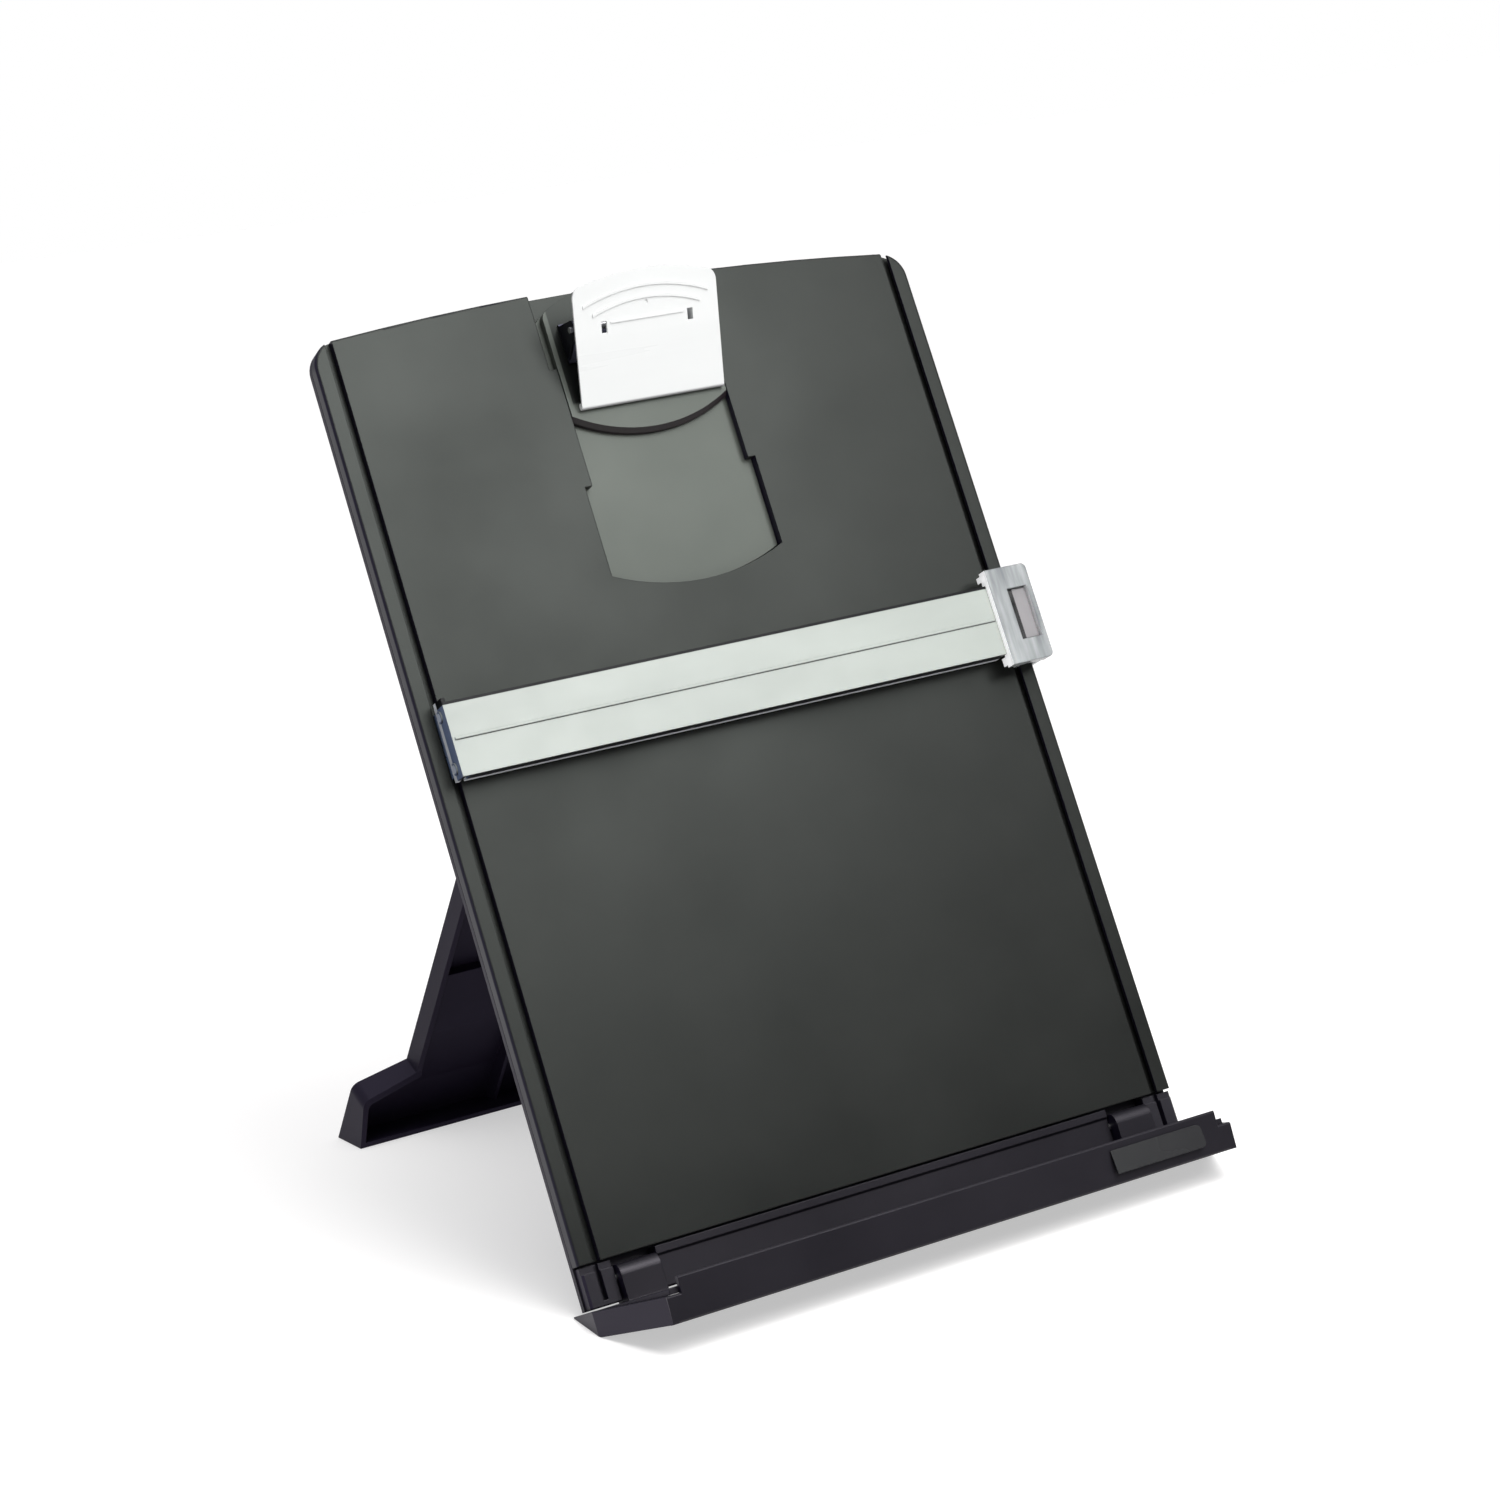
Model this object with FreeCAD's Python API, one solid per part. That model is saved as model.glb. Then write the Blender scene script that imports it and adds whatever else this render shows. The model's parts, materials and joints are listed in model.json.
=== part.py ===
import FreeCAD, Part
import math
import os

# Copy holder: a leaning board with a fold-out ledge, a folding rear leg,
# a spring clip on a sliding carriage and a clear line guide on side tracks.
# Board coordinates are u (right), w (out of the face) and v (up the face),
# with the origin at the middle of the face's bottom edge. Millimetres.

Vector = FreeCAD.Vector

# Stance
tilt_deg = 23.0              # board's lean from vertical
leg_angle_deg = 45.0         # angle between board and open leg
face_lift = 18.8             # height of the face's bottom edge above the table
gap = 0.3                    # between pieces that move apart
seat = 0.02                  # between pieces that are fixed together
running = 0.05               # radial clearance of a turning pin

# Board
board_half = 119.5
board_top = 337.5            # at the middle of the arched top edge
board_bottom = -15.1
top_arc_r = 1123.0
corner_r = 10.0
board_d = 9.3
shell_d = 5.1                # depth of the front half
seam = 0.3
skin = 2.2                   # wall of the front half
cover_skin = 1.8
edge_round = 1.1
rib_t = 1.6
pocket_rows = 5
middle_rows = 3
pocket_low = 3.0             # bottom of the lowest pockets
boss_rows = 3
boss_low = 22.0
boss_drop = 31.5             # highest bosses below the board's top
boss_inset = 15.0            # inward of the side tracks
boss_r = 3.6
pad_r = 4.2
screw_room = 0.3             # radial clearance of a screw in the piece it clamps

# Side tracks
track_inset = 8.5            # inner wall, from the board's edge
track_w = 2.8
track_d = 3.4
track_neck = 1.6             # depth of the narrow mouth
track_toe = 1.8              # extra width below the mouth

# Clip channel
channel_half = 34.4
channel_d = 6.0
channel_len = 116.0          # from the board's top to the arched end
channel_end_r = 82.6
pan_t = 1.2
lip_reach = 2.9
lip_t = 3.2
channel_lip_drop = 29.5
channel_lip_len = 45.0
detent_half = 6.0
detent_h = 2.4
detent_d = 0.7
detent_pitch = 18.0
detent_count = 4
detent_rise = 18.5           # lowest notch above the channel's end

# Carriage and clip, with drops measured from the board's top
tongue_face = -3.5
tongue_drop = 8.5
tongue_corner = 3.0
leaf_half = 5.0
leaf_room_half = 8.0
leaf_rise = 26.5
leaf_room_len = 28.0
leaf_room_d = 1.1
leaf_t = 0.35
leaf_bump = 0.5
leaf_bump_len = 8.0
base_len = 49.7              # along its sides, down to the arched end's middle
base_end_r = 62.0
base_side_drop = 8.5
base_over = 0.6              # how far its arched top passes the board
base_corner_r = 4.0
base_bevel = 1.6
base_screw_u = 20.0
base_screw_drop = 37.5
clip_u = 1.1                 # the clip sits a little right of the middle
lever_half = 28.7
lever_t = 0.8
lever_angle_deg = 28.7
lever_len = 46.5
lever_side_len = 42.1        # length at the sides, below the arched top
lever_corner_r = 5.0
jaw_drop = 45.5
jaw_roll_r = 1.3
clip_pin_r = 1.2
clip_pin_drop = 19.5
clip_pin_w = 10.6
clip_pin_head = 0.8          # how far the pin passes each ear
ear_u = 26.6
ear_t = 1.0
ear_round_r = 3.4
bracket_low = 9.0            # of the strip, below the pin
bracket_high = 6.0
tab_u = 18.3                 # inner tabs bent out of the lever's windows
tab_r = 2.6
tab_root = 4.0
window_w = 2.2
window_h = 4.2
window_low_a = 25.2
press_t = 0.35               # height of the pressed lines
press_w = 1.1
upper_arc = (25.0, 34.9, 39.9)   # half width, height at the sides and in the middle
lower_arc = (21.5, 31.4, 35.6)
crease_half = 14.6
crease_low_a = 28.4
crease_w = 0.6
dimple_r = 0.7
dimple_d = 0.4
dimple_a = 34.2
spring_wire_r = 0.45
spring_wire_sides = 6
spring_r = 2.3
spring_turns = 4
spring_steps = 8             # straight bits in one turn
spring_gap = 0.25
spring_inset = 3.0           # from the middle of the clip

# Hinge rail, corner posts and ledge
rail_top = -0.8
rail_back = -7.2
rail_front = -1.3
rail_step = 0.8
rail_step_v = -3.4
rail_bevel = 0.6
rail_screw_u = 40.0
rail_screw_v = -8.0
corner_w = 12.1              # width of a post, from the board's edge
corner_inset = 0.6
corner_low = -14.7
corner_top = -3.2
corner_front = -0.2
corner_bevel = 0.8
hinge_v = -7.0
hinge_w = -3.0
hinge_pin_r = 1.25
hinge_pin_seat = 4.0         # how deep each end sits in its piece
pin_end_room = 0.2
knuckle_r = 4.2
block_w = 14.9
block_gap = 0.8              # beside a hinge block
block_front = 3.4
block_back = -6.6
block_round = 4.0
shelf_v = -15.6
shelf_t = 2.0
shelf_back = -4.0
wall_over = 2.5              # side walls beyond the board's edge
wall_t = 2.0
wall_back = -10.5
wall_bend = 8.0              # where the side walls turn in
wall_foot = 9.2              # where the foot's flat ends
wall_top = -15.5
wall_heel = -20.0
lip_w = 47.6
lip_thick = 2.2
lip_rise = -12.3
lip_step = -17.7
lip_bottom = -27.0
lip_lean = 1.6               # how far the bottom edge stands back
lip_bevel = 0.6
lip_turn = 11.8              # side walls' turn-in from full width to the lip
lip_shoulder = 5.3
label_inset = 7.3            # from the lip's raised end
label_w = 37.1
label_drop = 3.0
label_h = 8.3
label_t = 0.5
label_corner_r = 2.0

# Rear leg
leg_axis_drop = 43.1
leg_axis_out = 6.0           # behind the board's back
leg_axis_n = 5.0             # forward of the leg's back plane
leg_pin_r = 2.0
leg_pin_head = 0.5
leg_d = 10.3                 # depth of the column
leg_web = 2.2
leg_wall = 1.8
leg_past_back = 30.0         # farther out than any part of the leg
leg_bore_half = 40.0         # past both of the leg's ears
sole_d = 19.6                # depth of the foot at the table
foot_half = 117.4
foot_slant = 0.25
shoulder_s = 24.9
shoulder_r = 5.0
waist_half = 87.6
waist_s = 30.8
column_half = 24.0           # narrow top part, between the ears
column_s = 280.0
panel_foot = 20.0
panel_bend = 46.0
panel_s = 72.0               # top of the raised web
panel_n = 6.6
leg_rib_u = 53.5
leg_rib_high = 60.0
cross_rib_low = 130.0
cross_rib_pitch = 60.0
cross_rib_count = 3
head_block = 14.0            # solid top of the column, below the pin
stop_bevel = 9.5             # peak of the stop bevel above the pin
ear_gap = 0.5
ear_thick = 4.5
ear_r = 5.6
ear_root = 11.0

# Line guide
guide_low = 168.5
guide_h = 26.6
guide_front = 10.0
guide_t = 1.4
guide_over = 2.2             # left end beyond the track's inner wall
guide_right_gap = 0.4
guide_lift = 0.9             # room for the page under the flange
end_rise = 1.6
ridge_r = 0.55
ring_r = 2.2
ring_out = 0.5
shoe_inset = 1.9
shoe_t = 1.8
shoe_high_w = 8.0
rivet_r = 1.5
rivet_v = 9.3
rivet_w = 4.6
slider_below = 4.7           # slider beyond the guide's edges
slider_above = 5.4
slider_reach = 6.4           # slider's left end inward of the track
slider_front = 12.0
slider_t = 4.6
slider_wall = 2.0
slider_gap = 0.5
slider_step = 1.0            # wall and feet stop short of the cap's ends
slider_corner_r = 2.0
foot_w = 4.5
foot_back = 4.6
foot_room = 0.6
window_inset = 6.9
window_right_inset = 2.1
window_end = 8.5
window_floor = 9.4
window_rim = 0.6
insert_t = 1.3
insert_gap = 0.25
insert_round = 0.3
pad_rise = 10.2
pad_len = 16.0
pad_back = -6.0
pad_front = -2.0
pad_d = 1.2
pad_gap = 0.1
hook_t = 2.2
hook_left_inset = 0.6
hook_screw_r = 0.6
hook_screw_head_r = 0.95
hook_screw_head_t = 0.7
hook_screw_inset = 6.0
hook_screw_depth = 2.3       # into the slider's wall, past the board's back

# Screws
screw_r = 1.2
screw_head_r = 2.5
screw_head_t = 1.3
head_sides = 12
shank_sides = 6              # also of holes, bosses and pads that don't show
cross_half = 1.5
cross_w = 0.6
cross_d = 0.7
head_sink = 0.35             # cover screws' heads below the back
screw_tip_w = -1.5           # tip of the screws that end in the front half
rail_head_sink = 0.15

# Places that follow from the sizes above
track_in = board_half - track_inset
boss_u = track_in - boss_inset
channel_low = board_top - channel_len
channel_lip_high = board_top - channel_lip_drop
tongue_top = board_top - tongue_drop
base_half = channel_half - lip_reach - gap
base_side_top = board_top - base_side_drop
base_low = base_side_top - base_len
base_top = board_top + base_over
base_screw_v = board_top - base_screw_drop
jaw_v = board_top - jaw_drop
clip_pin_v = board_top - clip_pin_drop
rail_outer = board_half - corner_w
corner_half = board_half - corner_inset
block_out = rail_outer - block_gap
block_in = block_out - block_w
rail_inner = block_in - block_gap
hinge_pin_out = rail_outer + hinge_pin_seat
wall_out = board_half + wall_over
lip_tab_half = wall_out - lip_turn
lip_half = lip_tab_half - lip_shoulder
label_right = lip_half - label_inset
label_left = label_right - label_w
label_high = lip_rise - label_drop
label_low = label_high - label_h
leg_axis_v = board_top - leg_axis_drop
leg_axis_w = -board_d - leg_axis_out
shoulder_half = foot_half - foot_slant * shoulder_s
guide_high = guide_low + guide_h
guide_middle = guide_low + guide_h / 2
guide_left = -track_in - guide_over
slider_left = track_in - slider_reach
guide_right = slider_left - guide_right_gap
shoe_low = guide_low + shoe_inset
shoe_high = guide_high - shoe_inset
slider_low = guide_low - slider_below
slider_high = guide_high + slider_above
slider_back = slider_front - slider_t
slider_inner = board_half + slider_gap
window_left = slider_left + window_inset
window_right = wall_out - window_right_inset
window_low = slider_low + window_end
window_high = slider_high - window_end
pad_low = slider_low + pad_rise
pad_high = pad_low + pad_len


def at(u, w, v):
    return Vector(u, -w, v)


def outline(steps, to3d):
    """Closed wire: a step is a point, or a pair (middle, end) for an arc."""
    start = steps[0]
    here = start
    edges = []
    for step in steps[1:] + [start]:
        if isinstance(step[0], tuple):
            middle, end = step
            edges.append(Part.Arc(to3d(*here), to3d(*middle), to3d(*end)).toShape())
        else:
            end = step
            if math.dist(here, end) < 1e-6:
                continue
            edges.append(Part.makeLine(to3d(*here), to3d(*end)))
        here = end
    return Part.Wire(edges)


def face_prism(steps, w0, w1):
    """Outline in (u, v), from depth w0 out to w1."""
    wire = outline(steps, lambda u, v: at(u, w1, v))
    return Part.Face(wire).extrude(Vector(0, w1 - w0, 0))


def side_prism(steps, u0, u1):
    """Outline in (w, v), from u0 to u1."""
    wire = outline(steps, lambda w, v: at(u0, w, v))
    return Part.Face(wire).extrude(Vector(u1 - u0, 0, 0))


def plan_prism(steps, v0, v1):
    """Outline in (u, w), from v0 up to v1."""
    wire = outline(steps, lambda u, w: at(u, w, v0))
    return Part.Face(wire).extrude(Vector(0, 0, v1 - v0))


def block(u0, u1, w0, w1, v0, v1):
    return Part.makeBox(u1 - u0, w1 - w0, v1 - v0, at(u0, w1, v0))


def rod(r, u0, u1, w, v):
    return Part.makeCylinder(r, u1 - u0, at(u0, w, v), Vector(1, 0, 0))


def peg(r, u, v, w0, w1):
    return Part.makeCylinder(r, w1 - w0, at(u, w1, v), Vector(0, 1, 0))


def faceted_peg(r, u, v, w0, w1, sides):
    """Peg with flat sides, its corners on the radius."""
    corners = []
    for index in range(sides):
        angle = 2 * math.pi * index / sides
        corners.append((u + r * math.cos(angle), v + r * math.sin(angle)))
    return face_prism(corners, w0, w1)


def head_peg(r, u, v, w0, w1):
    return faceted_peg(r, u, v, w0, w1, head_sides)


def shank_peg(r, u, v, w0, w1):
    return faceted_peg(r, u, v, w0, w1, shank_sides)


def mirrored(shape):
    return shape.mirror(Vector(0, 0, 0), Vector(1, 0, 0))


def both(shape):
    return [shape, mirrored(shape)]


def joined(shape, *others):
    flat = []
    for other in others:
        flat.extend(other if isinstance(other, list) else [other])
    return shape.fuse(flat).removeSplitter()


def less(shape, *others):
    flat = []
    for other in others:
        flat.extend(other if isinstance(other, list) else [other])
    return shape.cut(flat)


def rounded(shape, radius, wanted):
    edges = [edge for edge in shape.Edges if wanted(edge)]
    return shape.makeFillet(radius, edges)


def middle_of(edge):
    first, last = edge.ParameterRange
    return edge.valueAt((first + last) / 2)


def top_at(u, inset=0.0):
    radius = top_arc_r - inset
    return board_top - top_arc_r + math.sqrt(radius ** 2 - u ** 2)


def board_prism(inset, bottom, w0, w1):
    half = board_half - inset
    side_top = top_at(half, inset)
    steps = [(-half, bottom), (half, bottom), (half, side_top),
             ((0.0, top_at(0.0, inset)), (-half, side_top))]
    prism = face_prism(steps, w0, w1)

    def top_corner(edge):
        spot = middle_of(edge)
        straight = abs(edge.tangentAt(edge.FirstParameter).y) > 0.99
        return straight and spot.z > side_top - 1.0

    return rounded(prism, corner_r - inset, top_corner)


def end_arc(half, low, radius):
    """Middle and right end of an arc that sags to low over a half width."""
    rise = radius - math.sqrt(radius ** 2 - half ** 2)
    return (0.0, low), (half, low + rise)


# Board

def boss_spots():
    pitch = (board_top - boss_drop - boss_low) / (boss_rows - 1)
    return [(side * boss_u, boss_low + row * pitch) for row in range(boss_rows) for side in (-1, 1)]


def rail_screw_spots():
    return [(side * rail_screw_u, rail_screw_v) for side in (-1, 1)]


def base_screw_spots():
    return [(side * base_screw_u, base_screw_v) for side in (-1, 1)]


def pocket_row(row, rows, high):
    """Lower and upper edge of one pocket in a column that ends at a given height."""
    pitch = (high - pocket_low) / rows
    low = pocket_low + row * pitch + rib_t / 2
    return low, low + pitch - rib_t


def front_board():
    shell = board_prism(0.0, 0.0, -shell_d, 0.0)

    def front_side_edge(edge):
        spot = middle_of(edge)
        on_front = abs(spot.y) < 0.01
        upright = abs(edge.tangentAt(edge.FirstParameter).z) > 0.99
        return on_front and upright and abs(abs(spot.x) - board_half) < 0.01

    shell = rounded(shell, edge_round, front_side_edge)
    floor_w = -skin
    wall = channel_half + skin
    field_out = track_in - skin
    field_middle = (wall + field_out) / 2
    past_top = board_top + corner_r
    columns = ((wall, field_middle - rib_t / 2), (field_middle + rib_t / 2, field_out))
    pockets = []
    for row in range(pocket_rows):
        low, high = pocket_row(row, pocket_rows, board_top - 2 * corner_r)
        for left, right in columns:
            pockets.extend(both(block(left, right, -shell_d, floor_w, low, high)))
    for row in range(middle_rows):
        low, high = pocket_row(row, middle_rows, channel_low - 2 * skin)
        pockets.append(block(rib_t - wall, wall - rib_t, -shell_d, floor_w, low, high))
    shell = less(shell, pockets)
    bosses = [shank_peg(boss_r, u, v, -shell_d, floor_w + 0.2) for u, v in boss_spots()]
    pan_back = -channel_d - pan_t
    pan = block(-wall, wall, pan_back, floor_w, channel_low - skin, past_top)
    pan = pan.common(board_prism(0.0, 0.0, pan_back, 0.0))
    shell = joined(shell, bosses, pan)
    low_mid, low_right = end_arc(channel_half, channel_low, channel_end_r)
    channel = face_prism([(-channel_half, low_right[1]), (low_mid, low_right),
                          (channel_half, past_top), (-channel_half, past_top)], -channel_d, 1.0)
    mouth = block(track_in, track_in + track_w, -track_neck, 1.0, -1.0, past_top)
    toe = block(track_in, track_in + track_w + track_toe, -track_d, -track_neck, -1.0, past_top)
    holes = [shank_peg(screw_r + seat, u, v, -shell_d - 1.0, screw_tip_w + 0.2) for u, v in boss_spots()]
    detents = []
    for index in range(detent_count):
        low = channel_low + detent_rise + index * detent_pitch
        detents.append(block(-detent_half, detent_half, -channel_d - detent_d, 0.0, low, low + detent_h))
    shell = less(shell, channel, both(mouth), both(toe), holes, detents)
    lip = block(channel_half - lip_reach, channel_half + 0.5, -lip_t, 0.0,
                channel_lip_high - channel_lip_len, channel_lip_high)
    return joined(shell, both(lip))


def rear_cover():
    inner_w = -board_d + cover_skin
    rim_w = -shell_d - seam
    cover = board_prism(0.0, board_bottom, -board_d, rim_w)

    def back_edge(edge):
        spot = middle_of(edge)
        return abs(spot.y - board_d) < 0.01 and spot.z > board_bottom + 1.0

    cover = rounded(cover, edge_round + 0.4, back_edge)
    rib_low = skin - 0.2
    hollow = board_prism(skin, rib_low, inner_w, rim_w + 1.0)
    cover = less(cover, hollow, block(-rail_outer, rail_outer, inner_w, 0.0, board_bottom - 1.0, gap))
    pan_room = channel_half + skin + 1.0
    cover = less(cover, block(-pan_room, pan_room, inner_w, rim_w + 1.0,
                              channel_low - 2 * skin, board_top + 2.0))
    pads = [shank_peg(pad_r, u, v, inner_w - 0.1, rim_w) for u, v in boss_spots()]
    rail_pads = [shank_peg(pad_r, u, v, inner_w - 0.1, rail_back - seat) for u, v in rail_screw_spots()]
    ear_front = -board_d + 0.5
    ear_knee = leg_axis_w + ear_r / 3
    profile = [(ear_front, leg_axis_v - ear_root), (ear_front, leg_axis_v + ear_root),
               (ear_knee, leg_axis_v + ear_r), (leg_axis_w, leg_axis_v + ear_r),
               ((leg_axis_w - ear_r, leg_axis_v), (leg_axis_w, leg_axis_v - ear_r)),
               (ear_knee, leg_axis_v - ear_r)]
    ear_in = column_half + ear_gap
    ear_out = ear_in + ear_thick
    ear = side_prism(profile, ear_in, ear_out)
    cover = joined(cover, pads, rail_pads, both(ear), both(corner_post()))
    cuts = [rod(leg_pin_r + seat, -ear_out - 1.0, ear_out + 1.0, leg_axis_w, leg_axis_v)]
    for spots, sink in ((boss_spots(), head_sink), (rail_screw_spots(), rail_head_sink)):
        head_w = -board_d + sink + screw_head_t + seat
        for u, v in spots:
            cuts.append(shank_peg(screw_r + screw_room, u, v, -board_d - 1.0, 0.0))
            cuts.append(head_peg(screw_head_r + screw_room, u, v, -board_d - 1.0, head_w))
    return less(cover, cuts)


def screw(u, v, head_w, tip_w):
    """Screw driven from behind: the head starts at head_w and the tip ends at tip_w."""
    under_w = head_w + screw_head_t
    head = head_peg(screw_head_r, u, v, head_w, under_w)
    shank = shank_peg(screw_r, u, v, under_w - 0.1, tip_w)
    bottom_w = head_w + cross_d
    half_w = cross_w / 2
    slot = block(u - cross_half, u + cross_half, head_w - 0.1, bottom_w, v - half_w, v + half_w)
    cross = block(u - half_w, u + half_w, head_w - 0.1, bottom_w, v - cross_half, v + cross_half)
    return less(joined(head, shank), slot, cross)


def cover_screws():
    return Part.makeCompound([screw(u, v, -board_d + head_sink, screw_tip_w) for u, v in boss_spots()])


def rail_screws():
    tip_w = rail_front - 1.2
    return Part.makeCompound([screw(u, v, -board_d + rail_head_sink, tip_w) for u, v in rail_screw_spots()])


def corner_post():
    """Lower corner of the back half: it carries the outer end of a ledge pin."""
    rim_w = -shell_d - seam
    behind_w = rim_w - 0.1
    base = block(rail_outer, board_half, -board_d + cover_skin - 0.1, rim_w, corner_low, gap)
    front = block(rail_outer, corner_half, behind_w, corner_front, corner_low, corner_top)

    def outer_edge(edge):
        spot = middle_of(edge)
        return abs(spot.x - corner_half) < 0.01 and abs(spot.y + corner_front) < 0.01

    front = front.makeChamfer(corner_bevel, [edge for edge in front.Edges if outer_edge(edge)])
    shoulder = block(rail_outer, corner_half, behind_w, rail_front, corner_top - 0.5, rail_top)
    slot = block(track_in + 1.0, track_in + track_w, -track_d, 1.0, corner_low + 2 * corner_bevel, 0.0)
    bore = rod(hinge_pin_r + seat, rail_outer - 1.0, hinge_pin_out + pin_end_room, hinge_w, hinge_v)
    return less(joined(base, front, shoulder), slot, bore)


def hinge_rail():
    """Apron below the face: a stepped strip whose ends carry the inner ends of the ledge pins."""
    step_w = rail_front + rail_step
    profile = [(rail_back, board_bottom), (rail_front - rail_bevel, board_bottom),
               (rail_front, board_bottom + rail_bevel), (rail_front, rail_step_v - rail_step),
               (step_w, rail_step_v), (step_w, rail_top), (rail_back, rail_top)]
    rail = side_prism(profile, -rail_inner, rail_inner)
    bore = rod(hinge_pin_r + seat, rail_inner - hinge_pin_seat, rail_inner + 1.0, hinge_w, hinge_v)
    holes = [shank_peg(screw_r + seat, u, v, rail_back - 1.0, rail_front - 0.9)
             for u, v in rail_screw_spots()]
    return less(rail, both(bore), holes)


def ledge_hinge_pins():
    pin = rod(hinge_pin_r, rail_inner - hinge_pin_seat + pin_end_room, hinge_pin_out, hinge_w, hinge_v)
    return Part.makeCompound(both(pin))


# Ledge

def table_cut():
    """Half space below the table, in board coordinates."""
    size = 900.0
    low = Part.makeBox(size, size, 80.0, Vector(-size / 2, -size / 2, -80.0 - face_lift))
    low.rotate(Vector(0, 0, 0), Vector(1, 0, 0), tilt_deg)
    return low


def lip_w_at(v):
    return lip_w - lip_lean * (lip_rise - v) / (lip_rise - lip_bottom)


def lip_plate(half, high):
    front_low = lip_w_at(lip_bottom)
    front_high = lip_w_at(high)
    steps = [(front_low - lip_thick, lip_bottom), (front_low - lip_bevel, lip_bottom),
             (lip_w_at(lip_bottom + lip_bevel), lip_bottom + lip_bevel),
             (lip_w_at(high - lip_bevel), high - lip_bevel),
             (front_high - lip_bevel, high), (front_high - lip_thick, high)]
    return side_prism(steps, -half, half)


def side_wall():
    front = lip_w_at(lip_step) - 1.0
    inner = wall_out - wall_t
    band = plan_prism([(wall_out, wall_back), (wall_out, wall_bend),
                       (lip_tab_half, front), (lip_tab_half - wall_t * 1.1, front),
                       (inner, wall_bend - wall_t / 3), (inner, wall_back)], lip_bottom - 1.0, 0.0)
    profile = side_prism([(wall_back, wall_top), (wall_bend - wall_t, wall_top), (front, lip_step),
                          (front, lip_bottom), (wall_foot, lip_bottom - 3.0), (wall_back, wall_heel)],
                         0.0, wall_out + 1.0)
    below = lip_bottom - 10.0
    run = side_prism([(wall_foot, below), (wall_foot, foot_floor(wall_foot)),
                      (front, lip_bottom), (front, below)],
                     0.0, wall_out + 1.0)
    return band.common(profile).cut(run).cut(table_cut())


def foot_floor(w):
    """Height v of the table under a point at depth w."""
    tilt = math.radians(tilt_deg)
    return -(face_lift + w * math.sin(tilt)) / math.cos(tilt)


def hinge_block():
    top = hinge_v + knuckle_r
    low = shelf_v - shelf_t
    round_w = block_front - block_round
    corner_v = top - block_round
    diagonal = math.sqrt(0.5)
    steps = [(block_back, low + 1.6), (shelf_back, low), (block_front, low), (block_front, corner_v),
             ((round_w + block_round * diagonal, corner_v + block_round * diagonal), (round_w, top)),
             (hinge_w, top),
             ((hinge_w - knuckle_r * diagonal, hinge_v + knuckle_r * diagonal),
              (hinge_w - knuckle_r, hinge_v)),
             (hinge_w - knuckle_r, hinge_v - 1.0), (block_back, hinge_v - 3.0)]
    return side_prism(steps, block_in, block_out)


def ledge():
    inner = wall_out - wall_t
    front = lip_w_at(shelf_v) - lip_thick + 0.2
    shelf = plan_prism([(-inner - 0.2, shelf_back), (inner + 0.2, shelf_back), (inner + 0.2, wall_bend - 0.4),
                        (lip_tab_half - wall_t, front), (-lip_tab_half + wall_t, front),
                        (-inner - 0.2, wall_bend - 0.4)], shelf_v - shelf_t, shelf_v)
    body = joined(shelf, lip_plate(lip_tab_half, lip_step), lip_plate(lip_half, lip_rise),
                  both(side_wall()), both(hinge_block()))
    bore = rod(hinge_pin_r + running, block_in - 1.0, block_out + 1.0, hinge_w, hinge_v)
    return less(body, both(bore))


def label_plate():
    lean = math.degrees(math.atan2(lip_lean, lip_rise - lip_bottom))
    r = label_corner_r
    half = math.sqrt(0.5) * r
    steps = [(label_left, label_low), (label_right - r, label_low),
             ((label_right - r + half, label_low + r - half), (label_right, label_low + r)),
             (label_right, label_high - r),
             ((label_right - r + half, label_high - r + half), (label_right - r, label_high)),
             (label_left, label_high)]
    plate = face_prism(steps, 0.0, label_t)
    pivot = at(0, 0, label_high)
    plate.rotate(pivot, Vector(1, 0, 0), -lean)
    plate.translate(at(0, lip_w_at(label_high) + seat, 0))
    return plate


# Rear leg, drawn in its own frame: u, s up from the sole's back edge, n forward of the back plane

leg_lean = math.radians(leg_angle_deg - tilt_deg)
axis_height = (leg_axis_v * math.cos(math.radians(tilt_deg)) + leg_axis_w * math.sin(math.radians(tilt_deg))
               + face_lift)
leg_len = (axis_height + leg_axis_n * math.sin(leg_lean)) / math.cos(leg_lean)


def leg_place(shape):
    """From (u, n, s) to board coordinates, the leg open."""
    shape.translate(Vector(0, leg_axis_n, -leg_len))
    shape.rotate(Vector(0, 0, 0), Vector(1, 0, 0), leg_angle_deg)
    shape.translate(at(0, leg_axis_w, leg_axis_v))
    return shape


def leg_front(steps, n0, n1):
    """Outline in (u, s), from n0 forward to n1."""
    wire = outline(steps, lambda u, s: Vector(u, -n1, s))
    return Part.Face(wire).extrude(Vector(0, n1 - n0, 0))


def leg_side(steps):
    """Outline in (n, s), across the whole leg."""
    wire = outline(steps, lambda n, s: Vector(-foot_half - 5.0, -n, s))
    return Part.Face(wire).extrude(Vector(2 * foot_half + 10.0, 0, 0))


def leg_outline(inset):
    """Inverted T in (u, s), its walls drawn in by inset."""
    low = -1.0
    column_slope = (waist_half - column_half) / (column_s - waist_s)
    side = inset * math.sqrt(1 + column_slope ** 2)
    right = [(foot_half - foot_slant * low - inset, low), (shoulder_half - inset, shoulder_s - inset),
             (waist_half - side, waist_s - inset), (column_half - side, column_s),
             (column_half - side, leg_len + 15.0)]
    left = [(-u, s) for u, s in reversed(right)]
    return right + left


def sole_s(n):
    return n * math.tan(leg_lean)


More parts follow.
